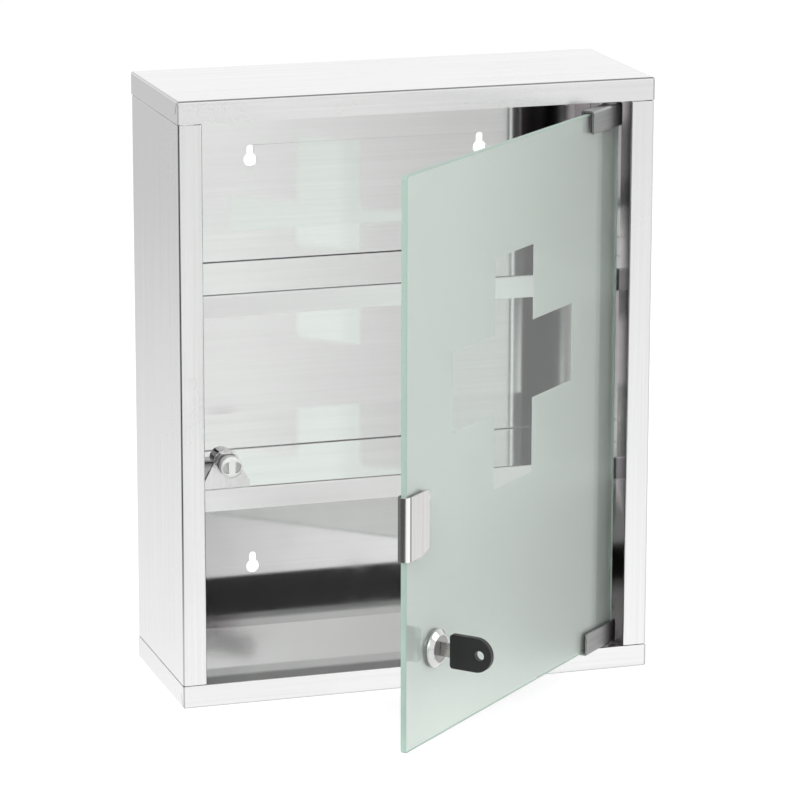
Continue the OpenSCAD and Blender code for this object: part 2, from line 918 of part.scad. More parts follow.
// Plug that the key turns, with slots for the wafers and a square tail for the cam
module lock_plug() {
    color("darkgray")
        on_lock()
            difference() {
                union() {
                    rod(plug_front, face_back, plug_face_d / 2);
                    rod(face_back - eps, cam_front, plug_d / 2);
                    translate([-tail_w / 2, -tail_w / 2, cam_front - eps])
                        cube([tail_w, tail_w, cam_t - seat_clear + eps]);
                }
                translate([0, 0, plug_front - 1])
                    linear_extrude(keyway_end - plug_front + 1) blade_section(blade_h, blade_clear);
                wafer_places()
                    cube([wafer_w + 2 * wafer_slot_clear, plug_d + 2, wafer_t + 2 * wafer_slot_clear],
                        center = true);
                rod(cam_front - cam_screw_len - seat_clear, cam_back + 1, cam_screw_d / 2);
            }
}

// Places a piece at each wafer along the plug
module wafer_places() {
    for (i = [0:wafer_count - 1]) translate([0, 0, wafer_first + i * wafer_pitch]) children();
}

// Wafers that the key draws into the plug and that spring out when it is pulled
module lock_wafers() {
    window_w = blade_w + 2 * blade_clear + 1;
    window_h = blade_h + 2 * (blade_clear + wafer_lift / 2);
    color("goldenrod")
        on_lock()
            wafer_places()
                difference() {
                    cube([wafer_w, wafer_h, wafer_t], center = true);
                    cube([window_w, window_h, wafer_t + 1], center = true);
                }
}

// Cam arm on the square tail of the plug, pointing to the hinges when unlocked
module lock_cam() {
    root_r = 10;
    tip_r = cam_w / 2;
    hole_w = tail_w + 0.2;
    color("darkgray")
        on_lock()
            translate([0, 0, cam_front])
                linear_extrude(cam_t)
                    difference() {
                        union() {
                            circle(root_r);
                            translate([0, -tip_r]) square([cam_reach - tip_r, cam_w]);
                            translate([cam_reach - tip_r, 0]) circle(tip_r);
                        }
                        square(hole_w, center = true);
                    }
}

module cam_washer() {
    color("silver") on_lock() ring(cam_back, cam_back + cam_washer_t, tail_w * 0.85, cam_screw_d / 2 + 0.2);
}

// Screw that holds the cam, with a hexagon socket
module cam_screw() {
    seat = cam_back + cam_washer_t;
    head_h = 2.4;
    socket_depth = 1.4;
    color("silver")
        on_lock()
            difference() {
                union() {
                    rod(cam_front - cam_screw_len, seat + eps, cam_screw_d / 2);
                    rod(seat, seat + head_h, cam_screw_d * 0.9);
                }
                translate([0, 0, seat + head_h - socket_depth])
                    cylinder(h = socket_depth + 1, r = cam_screw_d * 0.42, $fn = 6);
            }
}

// Shoulder of the key, from the part held in the head to the face of the plug
module key_shoulder() {
    translate([0, 0, head_in - head_grip])
        linear_extrude(plug_front - shoulder_gap - head_in + head_grip) blade_section(shoulder_h, 0);
}

// Key blade with its cuts, from the tip to the shoulder
module key_blade() {
    cut_count = 4;
    cut_depth = 0.9;
    color("silver")
        on_lock()
            difference() {
                union() {
                    key_shoulder();
                    translate([0, 0, head_in])
                        linear_extrude(blade_tip - head_in) blade_section(blade_h, 0);
                }
                for (i = [0:cut_count - 1], side = [-1, 1])
                    translate([0, side * blade_h / 2, wafer_first + (i + 0.5) * wafer_pitch])
                        rotate([45, 0, 0]) cube([blade_w + 1, cut_depth, cut_depth], center = true);
            }
}

// Outline of the head of the key: flat towards the lock and round at its far end
module head_outline() {
    corner_r = 2;
    round_r = head_h / 2;
    flat_len = head_len - round_r + corner_r;
    difference() {
        union() {
            translate([head_in - flat_len / 2, 0]) round_rect(flat_len, head_h, corner_r);
            translate([head_in - head_len + round_r, 0]) circle(round_r);
        }
        translate([head_in - head_len + round_r * 0.75, 0]) circle(ring_hole_r);
    }
}

// Plastic head moulded round the end of the blade
module key_head() {
    color("black")
        on_lock()
            difference() {
                rotate([0, -90, 0])
                    translate([0, 0, -head_t / 2]) linear_extrude(head_t) head_outline();
                key_shoulder();
            }
}

top_cap();
bottom_cap();
left_side();
right_side();
back_panel();
upper_shelf();
lower_shelf();
top_hinge_bracket();
bottom_hinge_bracket();
top_pivot_bush();
bottom_pivot_bush();
catch_bracket();
catch_housing();
catch_barrel();
catch_nut();
catch_magnet();
catch_poles();
door_glass();
frosted_film();
top_hinge_clip();
bottom_hinge_clip();
top_clip_gasket();
bottom_clip_gasket();
clamp_screws();
top_pivot_pin();
bottom_pivot_pin();
thrust_washers();
pull_handle();
handle_gasket();
lock_barrel();
rim_gasket();
nut_washer();
lock_nut();
lock_plug();
lock_cam();
cam_washer();
cam_screw();
lock_wafers();
key_blade();
key_head();
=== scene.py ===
"""Looks of a lockable wall cabinet for medicines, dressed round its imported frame.

A folded body of brushed stainless steel with two bright shelves stands with its
frosted glass door open. Everything is in metres: +X right, +Y to the wall, +Z up.
"""

import json
import math

import bmesh
import bpy
from mathutils import Matrix, Vector


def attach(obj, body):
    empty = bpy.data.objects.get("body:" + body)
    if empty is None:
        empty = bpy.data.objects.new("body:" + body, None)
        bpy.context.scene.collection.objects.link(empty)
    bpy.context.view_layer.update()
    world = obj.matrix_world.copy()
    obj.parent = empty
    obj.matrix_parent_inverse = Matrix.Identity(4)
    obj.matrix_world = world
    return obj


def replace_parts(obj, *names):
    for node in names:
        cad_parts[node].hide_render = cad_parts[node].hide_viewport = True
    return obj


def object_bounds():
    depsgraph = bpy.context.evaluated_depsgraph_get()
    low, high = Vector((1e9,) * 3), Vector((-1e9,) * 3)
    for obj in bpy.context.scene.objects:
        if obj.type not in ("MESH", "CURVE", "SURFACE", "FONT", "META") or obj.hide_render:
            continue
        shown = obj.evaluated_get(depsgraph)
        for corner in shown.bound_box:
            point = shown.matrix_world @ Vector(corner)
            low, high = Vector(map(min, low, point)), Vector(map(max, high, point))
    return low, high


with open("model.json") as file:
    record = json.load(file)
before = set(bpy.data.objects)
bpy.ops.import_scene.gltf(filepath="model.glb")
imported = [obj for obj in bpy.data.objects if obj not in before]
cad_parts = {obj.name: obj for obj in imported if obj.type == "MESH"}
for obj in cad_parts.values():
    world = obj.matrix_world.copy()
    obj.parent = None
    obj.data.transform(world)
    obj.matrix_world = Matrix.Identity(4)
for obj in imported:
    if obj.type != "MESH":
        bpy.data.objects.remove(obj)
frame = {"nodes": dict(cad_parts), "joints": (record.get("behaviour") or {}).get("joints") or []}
cad_low, cad_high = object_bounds()

MM = 0.001
BODY_TOP = cad_high.z
BODY_SIDE = cad_high.x
BODY_BACK = cad_high.y
BODY_FRONT = -BODY_BACK
SHELF_FRONT = min(vertex.co.y for vertex in frame["nodes"]["lower_shelf"].data.vertices)
SHELF_UNDER = max(vertex.co.z for vertex in frame["nodes"]["lower_shelf"].data.vertices)


# ---------------------------------------------------------------- the door's own frame

door_joint = next(joint for joint in frame["joints"] if joint["name"] == "door_swing")
pivot = Vector((door_joint["pos_m"][0], door_joint["pos_m"][1], 0.0))
door_angle = -math.radians(door_joint["range_deg"][0])
OPENED = Matrix.Translation(pivot) @ Matrix.Rotation(door_angle, 4, "Z") @ Matrix.Translation(-pivot)


def shut_box(node):
    """Lowest and highest corner of a door piece as it lies with the door shut."""
    back = OPENED.inverted()
    corners = [back @ vertex.co for vertex in frame["nodes"][node].data.vertices]
    low = Vector([min(corner[axis] for corner in corners) for axis in range(3)])
    high = Vector([max(corner[axis] for corner in corners) for axis in range(3)])
    return low, high


HANDLE_LOW, HANDLE_HIGH = shut_box("pull_handle")
HANDLE_R = (HANDLE_HIGH.y - HANDLE_LOW.y) / 2


# ---------------------------------------------------------------- building node trees

class Wiring:
    """Adds nodes to one tree: a plain value is set on an input, a socket is linked to it."""

    def __init__(self, tree):
        self.tree = tree

    def add(self, kind, inputs=None, **settings):
        node = self.tree.nodes.new(kind)
        for name, value in settings.items():
            setattr(node, name, value)
        for name, value in (inputs or {}).items():
            if isinstance(value, bpy.types.NodeSocket):
                self.tree.links.new(value, node.inputs[name])
            else:
                node.inputs[name].default_value = value
        return node

    def math(self, operation, first, second=0.0, clamp=False):
        node = self.add("ShaderNodeMath", {0: first, 1: second}, operation=operation, use_clamp=clamp)
        return node.outputs[0]

    def spread(self, value, low, high, to_low=0.0, to_high=1.0):
        """Value from low..high mapped and held to to_low..to_high."""
        names = ("Value", "From Min", "From Max", "To Min", "To Max")
        node = self.add("ShaderNodeMapRange", dict(zip(names, (value, low, high, to_low, to_high))))
        return node.outputs["Result"]

    def blend(self, factor, first, second, kind="MIX"):
        node = self.add("ShaderNodeMix", data_type="RGBA", blend_type=kind)
        for index, value in ((0, factor), (6, first), (7, second)):
            if isinstance(value, bpy.types.NodeSocket):
                self.tree.links.new(value, node.inputs[index])
            else:
                node.inputs[index].default_value = value
        return node.outputs[2]

    def noise(self, vector, scale, detail=2.0, roughness=0.5):
        inputs = {"Vector": vector, "Scale": scale, "Detail": detail, "Roughness": roughness}
        return self.add("ShaderNodeTexNoise", inputs).outputs["Fac"]


def shared_effect(name, inputs, outputs, build):
    """Makes a shader node group. inputs is {name: (socket type, default)}, outputs {name: type}."""
    tree = bpy.data.node_groups.new(name, "ShaderNodeTree")
    for label, (kind, default) in inputs.items():
        socket = tree.interface.new_socket(label, in_out="INPUT", socket_type=kind)
        socket.default_value = default
    for label, kind in outputs.items():
        tree.interface.new_socket(label, in_out="OUTPUT", socket_type=kind)
    wiring = Wiring(tree)
    given = wiring.add("NodeGroupInput").outputs
    result = build(wiring, given)
    end = wiring.add("NodeGroupOutput")
    for label, socket in result.items():
        tree.links.new(socket, end.inputs[label])
    return tree


FLOAT = "NodeSocketFloat"
VECTOR = "NodeSocketVector"


def piece_position(w):
    return w.add("ShaderNodeTexCoord").outputs["Object"]


def build_brush_grain(w, given):
    """Long scratches of a brushed sheet: fine lines for the bump, broad streaks for the tone."""
    turned = w.add("ShaderNodeVectorRotate", {"Vector": piece_position(w), "Angle": given["Turn"]},
                   rotation_type="Z_AXIS").outputs[0]
    fine = w.add("ShaderNodeVectorMath", {0: turned, 1: given["Fine"]}, operation="MULTIPLY").outputs[0]
    broad = w.add("ShaderNodeVectorMath", {0: turned, 1: given["Broad"]}, operation="MULTIPLY").outputs[0]
    height = w.noise(fine, 1.0, 3.0, 0.6)
    streak = w.spread(w.noise(broad, 1.0, 4.0, 0.65), 0.3, 0.7)
    return {"Height": height, "Streak": streak}


def build_handling_marks(w, given):
    """Faint finger marks and wiped patches."""
    position = piece_position(w)
    patches = w.spread(w.noise(position, given["Scale"], 2.0, 0.5), 0.48, 0.68)
    smears = w.spread(w.noise(position, w.math("MULTIPLY", given["Scale"], 7.0), 4.0, 0.7), 0.35, 0.75)
    return {"Mask": w.math("MULTIPLY", patches, smears)}


def build_edge_wear(w, given):
    """Bright rubbed line along every edge, broken up by noise."""
    rounded = w.add("ShaderNodeBevel", {"Radius": given["Width"]}, samples=4).outputs[0]
    normal = w.add("ShaderNodeNewGeometry").outputs["Normal"]
    along = w.add("ShaderNodeVectorMath", {0: rounded, 1: normal}, operation="DOT_PRODUCT").outputs["Value"]
    edge = w.spread(w.math("SUBTRACT", 1.0, along), 0.01, 0.16)
    broken = w.spread(w.noise(piece_position(w), 380.0, 3.0, 0.6), 0.35, 0.6)
    return {"Mask": w.math("MULTIPLY", edge, broken)}


def build_sheet_waves(w, given):
    """Slow unevenness of thin sheet, as a height of 0 to 1."""
    return {"Height": w.noise(piece_position(w), given["Scale"], 1.0, 0.4)}


def build_settled_dust(w, given):
    """Thin dust that lies on faces that look up."""
    normal = w.add("ShaderNodeNewGeometry").outputs["Normal"]
    up = w.add("ShaderNodeSeparateXYZ", {"Vector": normal}).outputs["Z"]
    lying = w.spread(up, 0.4, 0.95)
    specks = w.spread(w.noise(piece_position(w), given["Scale"], 5.0, 0.75), 0.45, 0.8)
    return {"Mask": w.math("MULTIPLY", lying, specks)}


def piece_axes(w):
    return w.add("ShaderNodeSeparateXYZ", {"Vector": piece_position(w)}).outputs


def from_middle(w, axes):
    """Height above or below the middle of the body."""
    return w.math("ABSOLUTE", w.math("SUBTRACT", axes["Z"], BODY_TOP / 2))


def short_of(w, value, face):
    """1 up to the inner side of a sheet, 0 on its outer face."""
    return w.spread(value, face - 0.7 * MM, face - 0.3 * MM, 1, 0)


def painted_hinge_pocket_shade(w, axes):
    """Mask of painted shade in the low corner of the body beside the hinges, standing in for the dark metal
    it mirrors.
    """
    low = w.spread(axes["Z"], 105 * MM, 125 * MM, 1, 0)
    return w.math("MULTIPLY", low, w.spread(axes["X"], 100 * MM, 120 * MM))


def build_inside_with_painted_shade(w, given):
    """Marks the faces inside the body, and the painted shade in its folds, tucked ends and channels at the
    front.
    """
    post_return = 145.4 * MM
    skirt_end = BODY_TOP / 2 - 15 * MM
    axes = piece_axes(w)
    out = w.math("ABSOLUTE", axes["X"])
    middle = from_middle(w, axes)
    within = w.math("MULTIPLY", short_of(w, out, BODY_SIDE), short_of(w, middle, BODY_TOP / 2))
    within = w.math("MULTIPLY", within, short_of(w, w.math("ABSOLUTE", axes["Y"]), BODY_BACK))
    # painted shade over the front channel
    channel = w.spread(axes["Y"], given["Channel Start"], given["Channel End"])
    # painted shade on the ends tucked behind the skirts, in the post's fold and in the hinge pocket
    ends = w.spread(middle, skirt_end, skirt_end + 0.4 * MM)
    beside = w.spread(out, post_return, post_return + 0.4 * MM, 1, 0)
    fold = w.math("MULTIPLY", beside, w.spread(axes["Y"], BODY_FRONT + 1.6 * MM, BODY_FRONT + 1.2 * MM))
    dark = w.math("MAXIMUM", w.math("MAXIMUM", ends, fold), painted_hinge_pocket_shade(w, axes))
    channel = w.math("MAXIMUM", channel, w.math("MULTIPLY", given["Side"], dark))
    return {"Inside": within, "Channel": w.math("MULTIPLY", within, channel)}


def build_painted_fold_reflection(w, given):
    """Painted dark reflection: a thin line along the folded outer edges of the body, where they mirror a
    dark part of the room.
    """
    axes = piece_axes(w)
    wide, narrow = 1.1 * MM, 0.7 * MM
    at_front = w.spread(axes["Y"], BODY_FRONT + wide, BODY_FRONT + narrow)
    at_side = w.spread(w.math("ABSOLUTE", axes["X"]), BODY_SIDE - wide, BODY_SIDE - narrow)
    at_end = w.spread(from_middle(w, axes), BODY_TOP / 2 - wide, BODY_TOP / 2 - narrow)
    front_lines = w.math("MULTIPLY", at_front, w.math("MAXIMUM", at_side, at_end))
    lines = w.math("MAXIMUM", front_lines, w.math("MULTIPLY", at_side, at_end))
    return {"Mask": w.math("MULTIPLY", lines, given["Strength"])}


brush_grain = shared_effect(
    "brush grain",
    {"Turn": (FLOAT, 0.0), "Fine": (VECTOR, (3000, 3000, 30)), "Broad": (VECTOR, (300, 300, 3))},
    {"Height": FLOAT, "Streak": FLOAT}, build_brush_grain)
handling_marks = shared_effect(
    "handling marks", {"Scale": (FLOAT, 20.0)}, {"Mask": FLOAT}, build_handling_marks)
edge_wear = shared_effect("edge wear", {"Width": (FLOAT, 0.0005)}, {"Mask": FLOAT}, build_edge_wear)
inside_with_painted_shade = shared_effect(
    "cabinet inside with painted shade",
    {"Channel Start": (FLOAT, -42 * MM), "Channel End": (FLOAT, -57 * MM), "Side": (FLOAT, 1.0)},
    {"Inside": FLOAT, "Channel": FLOAT}, build_inside_with_painted_shade)
painted_fold_reflection = shared_effect("painted fold reflection", {"Strength": (FLOAT, 0.55)}, {"Mask": FLOAT}, build_painted_fold_reflection)
sheet_waves = shared_effect("sheet waves", {"Scale": (FLOAT, 6.0)}, {"Height": FLOAT}, build_sheet_waves)
settled_dust = shared_effect("settled dust", {"Scale": (FLOAT, 900.0)}, {"Mask": FLOAT}, build_settled_dust)


# ---------------------------------------------------------------- materials

def blank(name, **sockets):
    """A new material with its Principled BSDF, and a wiring to add to it."""
    material = bpy.data.materials.new(name)
    material.use_nodes = True
    shader = next(n for n in material.node_tree.nodes if n.type == "BSDF_PRINCIPLED")
    for socket, value in sockets.items():
        shader.inputs[socket.replace("_", " ")].default_value = value
    return material, shader, Wiring(material.node_tree)


def use(w, group, **inputs):
    """Places a shared effect in a material."""
    node = w.add("ShaderNodeGroup")
    node.node_tree = group
    for name, value in inputs.items():
        node.inputs[name.replace("_", " ")].default_value = value
    return node.outputs


def grey(level, warm=0.0):
    """Neutral colour of a linear level, a little warm or cold."""
    return (level * (1 + warm), level, level * (1 - warm), 1.0)


def grain_along(axis, fine, broad, stretch=90.0):
    """Scales of the brush grain for scratches that run along one axis."""
    return {
        "Fine": [fine / (stretch if i == "XYZ".index(axis) else 1.0) for i in range(3)],
        "Broad": [broad / (stretch if i == "XYZ".index(axis) else 1.0) for i in range(3)],
    }


def painted_handle_fold_light(w):
    """Masks of painted light on the handle's fold: painted shade at its back and along a fine line, a
    painted highlight between them.
    """
    placed = {0: piece_position(w), 1: pivot}
    from_pivot = w.add("ShaderNodeVectorMath", placed, operation="SUBTRACT").outputs[0]
    turned = {"Vector": from_pivot, "Angle": -door_angle}
    shut = w.add("ShaderNodeVectorRotate", turned, rotation_type="Z_AXIS").outputs[0]
    axes = w.add("ShaderNodeSeparateXYZ", {"Vector": shut}).outputs
    past_fold = w.math("SUBTRACT", axes["X"], HANDLE_LOW.x - pivot.x + HANDLE_R)
    back = w.spread(axes["Y"], 0.4 * MM, 1.4 * MM)
    line_start = w.spread(past_fold, -1.0 * MM, -0.6 * MM)
    line_end = w.spread(past_fold, 0.5 * MM, 1.1 * MM, 1, 0)
    line = w.math("MULTIPLY", w.math("MULTIPLY", line_start, line_end), w.spread(axes["Y"], 0.0, -1 * MM))
    line = w.math("MULTIPLY", line, 0.75)
    round_front = w.spread(axes["Y"], -2.3 * MM, -3.0 * MM)
    bright = w.math("MULTIPLY", round_front, w.spread(past_fold, -1.2 * MM, -0.8 * MM, 1, 0))
    return w.math("MAXIMUM", back, line), bright


def painted_shade_below_lower_shelf(w):
    """Mask of painted shade on the panel's front below the lower shelf, strongest at the left and a little
    cloudy.
    """
    axes = piece_axes(w)
    under = w.spread(axes["Z"], SHELF_UNDER - 1 * MM, SHELF_UNDER, 1, 0)
    under = w.math("MULTIPLY", under, short_of(w, axes["Y"], BODY_BACK))
    across = w.spread(axes["X"], -150 * MM, 20 * MM, 1.0, 0.45)
    cloudy = w.spread(w.noise(piece_position(w), 14.0, 2.0, 0.5), 0.3, 0.7, 0.75, 1.0)
    return w.math("MULTIPLY", under, w.math("MULTIPLY", across, cloudy))


def brushed_steel(name, level, roughness, axis, warm=0.0, depth=0.004 * MM, contrast=0.06,
                  turn=0.0, waves=0.0, marks=0.06, wear=0.35 * MM, fine=2600.0, broad=420.0,
                  inner=None, channel=(-42 * MM, -57 * MM, 0.12), lip=None, low=None, fold=None):
    """Brushed or rolled stainless steel with its grain along one axis.

    inner gives (level, roughness) of the brighter finish inside the body; its lower level is partly
    painted shade, it darkens along Y over the channel to a share of it as painted shade, and the
    outer folded edges get a painted dark reflection. lip gives the roughness of the front lip of a
    shelf, and low the share of the level for the painted shade below the lower shelf. fold gives a
    painted shade mask and a painted highlight mask.
    """
    material, shader, w = blank(name, Metallic=1.0)
    grain = use(w, brush_grain, Turn=turn, **grain_along(axis, fine, broad))
    touched = use(w, handling_marks, Scale=14.0)["Mask"]
    rubbed = use(w, edge_wear, Width=wear)["Mask"]
    tone = w.blend(grain["Streak"], grey(level * (1 - contrast), warm), grey(level, warm))
    tone = w.blend(w.math("MULTIPLY", rubbed, 0.5), tone, grey(min(1.0, level * 1.12), warm))
    finish = w.spread(grain["Streak"], 0, 1, roughness * 1.12, roughness * 0.9)
    if inner:
        side = 1.0 if axis == "Z" else 0.0
        masks = use(w, inside_with_painted_shade, Channel_Start=channel[0], Channel_End=channel[1], Side=side)
        # painted shade inside the body, over its front channel and in its dark folds and tucked ends
        tone = w.blend(masks["Inside"], tone, grey(inner[0], warm))
        tone = w.blend(masks["Channel"], tone, grey(inner[0] * channel[2], warm))
        # painted dark reflection along the outer folded edges
        tone = w.blend(use(w, painted_fold_reflection)["Mask"], tone, grey(level * 0.25))
        finish = w.spread(masks["Inside"], 0, 1, finish, inner[1])
    if fold:
        # painted shade and a painted highlight on the handle's fold
        painted_fold_shade, painted_fold_highlight = fold(w)
        tone = w.blend(painted_fold_shade, tone, grey(level * 0.22, warm))
        tone = w.blend(painted_fold_highlight, tone, grey(1.0))
    if low:
        # painted shade on the panel below the lower shelf
        tone = w.blend(painted_shade_below_lower_shelf(w), tone, grey(level * low, warm))
    if lip:
        inward = piece_axes(w)["Y"]
        finish = w.spread(inward, SHELF_FRONT + 1.2 * MM, SHELF_FRONT + 0.4 * MM, finish, lip)
    w.tree.links.new(tone, shader.inputs["Base Color"])
    rough = w.math("ADD", finish, w.math("MULTIPLY", touched, marks))
    w.tree.links.new(rough, shader.inputs["Roughness"])
    scratched = w.add("ShaderNodeBump", {"Strength": 1.0, "Distance": depth, "Height": grain["Height"]})
    if waves:
        uneven = use(w, sheet_waves, Scale=5.0)["Height"]
        bent = w.add("ShaderNodeBump", {"Strength": 1.0, "Distance": waves, "Height": uneven})
        w.tree.links.new(bent.outputs[0], scratched.inputs["Normal"])
    w.tree.links.new(scratched.outputs[0], shader.inputs["Normal"])
    return material


def moulded_plastic(name, colour, roughness, texture=0.01 * MM, scale=2200.0, dust=0.25):
    """Moulded plastic or rubber with a fine spark-eroded texture, rubbed edges and dust."""
    material, shader, w = blank(name, Metallic=0.0, IOR=1.47)
    grainy = w.noise(piece_position(w), scale, 3.0, 0.6)
    rubbed = use(w, edge_wear, Width=0.5 * MM)["Mask"]
    dusty = w.math("MULTIPLY", use(w, settled_dust, Scale=1100.0)["Mask"], dust)
    lighter = tuple(min(1.0, channel * 1.6 + 0.01) for channel in colour[:3]) + (1.0,)
    mottle = tuple(channel * 0.82 for channel in colour[:3]) + (1.0,)
    tone = w.blend(w.spread(grainy, 0.3, 0.7), mottle, colour)
    tone = w.blend(w.math("MULTIPLY", rubbed, 0.3), tone, lighter)
    tone = w.blend(dusty, tone, grey(0.5))
    w.tree.links.new(tone, shader.inputs["Base Color"])
    finish = w.spread(grainy, 0.3, 0.7, roughness * 0.9, roughness * 1.1)
    rough = w.math("ADD", w.math("MULTIPLY", dusty, 0.4), finish)
    w.tree.links.new(rough, shader.inputs["Roughness"])
    bump = w.add("ShaderNodeBump", {"Strength": 1.0, "Distance": texture, "Height": grainy})
    w.tree.links.new(bump.outputs[0], shader.inputs["Normal"])
    return material


def bright_chrome(name, level, roughness):
    """Polished plating with faint polishing lines and finger marks."""
    material, shader, w = blank(name, Metallic=1.0)
    touched = use(w, handling_marks, Scale=90.0)["Mask"]
    rubbed = use(w, edge_wear, Width=0.2 * MM)["Mask"]
    fine = w.noise(piece_position(w), 5000.0, 2.0, 0.6)
    tone = w.blend(touched, grey(level), grey(level * 0.86, 0.01))
    tone = w.blend(w.math("MULTIPLY", rubbed, 0.4), tone, grey(min(1.0, level * 1.15)))
    w.tree.links.new(tone, shader.inputs["Base Color"])
    finish = w.spread(fine, 0.3, 0.7, roughness * 0.8, roughness * 1.2)
    rough = w.math("ADD", w.math("MULTIPLY", touched, 0.14), finish)
    w.tree.links.new(rough, shader.inputs["Roughness"])
    bump = w.add("ShaderNodeBump", {"Strength": 1.0, "Distance": 0.0008 * MM, "Height": fine})
    w.tree.links.new(bump.outputs[0], shader.inputs["Normal"])
    return material


def clear_glass():
    """Float glass: clear, with wiped finger marks on its faces."""
    material, shader, w = blank("door glass", Base_Color=(0.89, 0.955, 0.915, 1.0), Metallic=0.0,
                                Transmission_Weight=1.0, IOR=1.5)
    touched = use(w, handling_marks, Scale=18.0)["Mask"]
    w.tree.links.new(w.math("MULTIPLY", touched, 0.05), shader.inputs["Roughness"])
    return material


def ground_edge():
    """Ground edge of the glass: satin, pale aqua, with fine grinding lines along it."""
    material, shader, w = blank("ground glass edge", Metallic=0.0, Transmission_Weight=0.35, IOR=1.5)
    lines = w.noise(piece_position(w), 1500.0, 3.0, 0.65)
    tone = w.blend(w.spread(lines, 0.3, 0.7), (0.40, 0.55, 0.48, 1.0), (0.50, 0.65, 0.57, 1.0))
    w.tree.links.new(tone, shader.inputs["Base Color"])
    w.tree.links.new(w.spread(lines, 0.3, 0.7, 0.28, 0.42), shader.inputs["Roughness"])
    bump = w.add("ShaderNodeBump", {"Strength": 1.0, "Distance": 0.01 * MM, "Height": lines})
    w.tree.links.new(bump.outputs[0], shader.inputs["Normal"])
    return material


def frosted_layer():
    """Satin layer that lets blurred light through, with a faint cloudiness and a painted shade toward +X,
    the hinge side.

    Mirrored in the steel behind it, it glows a little, as if more of the room stood behind it.
    """
    material, shader, w = blank("frosted film", Metallic=0.0, Transmission_Weight=0.84, IOR=1.45,
                                Emission_Strength=0.17)
    rays = w.add("ShaderNodeLightPath").outputs
    mirrored = w.math("SUBTRACT", rays["Is Glossy Ray"], rays["Is Transmission Ray"], clamp=True)
    w.tree.links.new(w.blend(mirrored, grey(0.0), (1.0, 0.66, 0.86, 1.0)), shader.inputs["Emission Color"])
    cloudy = w.noise(piece_position(w), 9.0, 3.0, 0.55)
    specks = w.noise(piece_position(w), 3500.0, 2.0, 0.5)
    tone = w.blend(w.spread(cloudy, 0.3, 0.7), (0.89, 0.945, 0.91, 1.0), (0.93, 0.98, 0.945, 1.0))
    across = piece_axes(w)["X"]
    # painted shade toward +X, the hinge side
    tone = w.blend(w.spread(across, -20 * MM, 110 * MM), tone, (0.74, 0.80, 0.76, 1.0))
    w.tree.links.new(tone, shader.inputs["Base Color"])
    w.tree.links.new(w.spread(specks, 0.3, 0.7, 0.42, 0.52), shader.inputs["Roughness"])
    bump = w.add("ShaderNodeBump", {"Strength": 1.0, "Distance": 0.004 * MM, "Height": specks})
    w.tree.links.new(bump.outputs[0], shader.inputs["Normal"])
    return material


# the inner levels and channel shares here are partly painted shade
upright = brushed_steel("upright brushed steel with painted shade and reflection", 0.93, 0.24, "Z", waves=0.03 * MM, inner=(0.66, 0.12))
sideways = brushed_steel("sideways brushed steel with painted shade and reflection", 0.93, 0.24, "X", waves=0.03 * MM, inner=(0.80, 0.06),
                         channel=(2 * MM, -4 * MM, 0.34))
# low sets the level of its painted shade below the lower shelf
panel = brushed_steel("bright panel steel with painted shade", 0.92, 0.055, "X", contrast=0.05, depth=0.0012 * MM, low=0.42)
shelf = brushed_steel("bright shelf steel", 0.92, 0.06, "X", contrast=0.03, depth=0.0008 * MM, lip=0.34)
bracket = brushed_steel("satin bracket steel", 0.55, 0.32, "Y")
clip = brushed_steel("grey satin clip steel", 0.36, 0.36, "X", turn=-door_angle, depth=0.006 * MM,
                     contrast=0.18)
# its fold carries painted shade and a painted highlight
handle = brushed_steel("brushed handle steel with painted fold light", 0.72, 0.26, "Z", warm=0.01, depth=0.006 * MM,
                       contrast=0.14, fold=painted_handle_fold_light)
plated = brushed_steel("plated screw steel", 0.62, 0.22, "Z", contrast=0.1, wear=0.2 * MM)
cam_metal = brushed_steel("zinc plated cam steel", 0.50, 0.34, "Z", contrast=0.15)
magnet = brushed_steel("sintered magnet", 0.12, 0.5, "Z", contrast=0.2)
catch_sheet = brushed_steel("bright catch plate", 0.85, 0.25, "Z")
brass = brushed_steel("wafer brass", 0.60, 0.3, "Z", warm=0.25)
key_metal = brushed_steel("nickel silver key", 0.60, 0.24, "Z", warm=0.04, contrast=0.12)
chrome = bright_chrome("bright chrome", 0.70, 0.09)
plug_metal = bright_chrome("satin nickel plug", 0.36, 0.30)
catch_body = bright_chrome("dark polished catch housing", 0.40, 0.12)
bright_nut = bright_chrome("bright catch nut", 0.80, 0.08)
pole_metal = brushed_steel("pale pole steel", 0.62, 0.3, "Z", contrast=0.2)
white_plastic = moulded_plastic("white catch plastic", (0.80, 0.80, 0.79, 1.0), 0.35, dust=0.05)
nylon = moulded_plastic("grey nylon", (0.16, 0.16, 0.155, 1.0), 0.45, dust=0.05)
rubber = moulded_plastic("dark gasket rubber", (0.035, 0.036, 0.036, 1.0), 0.6)
black_plastic = moulded_plastic("black key plastic", (0.012, 0.012, 0.0125, 1.0), 0.40, texture=0.02 * MM)
glass = clear_glass()
glass_edge = ground_edge()
frost = frosted_layer()

EDGE_ROUND = {
    "top_cap": 0.2, "bottom_cap": 0.2, "left_side": 0.2, "right_side": 0.2, "back_panel": 0.15,
    "upper_shelf": 0.2, "lower_shelf": 0.2, "top_hinge_bracket": 0.15, "bottom_hinge_bracket": 0.15,
    "catch_bracket": 0.15, "catch_housing": 0.5, "catch_barrel": 0.3, "catch_nut": 0.3, "catch_poles": 0.15,
    "top_hinge_clip": 0.3, "bottom_hinge_clip": 0.3, "top_clip_gasket": 0.1, "bottom_clip_gasket": 0.1,
    "clamp_screws": 0.2, "top_pivot_pin": 0.2, "bottom_pivot_pin": 0.2, "thrust_washers": 0.1,
    "pull_handle": 0.25, "handle_gasket": 0.1, "lock_barrel": 0.2, "rim_gasket": 0.2, "nut_washer": 0.1,
    "lock_nut": 0.3, "lock_plug": 0.15, "lock_cam": 0.25, "cam_washer": 0.1, "cam_screw": 0.2,
    "key_blade": 0.12, "key_head": 0.8,
}

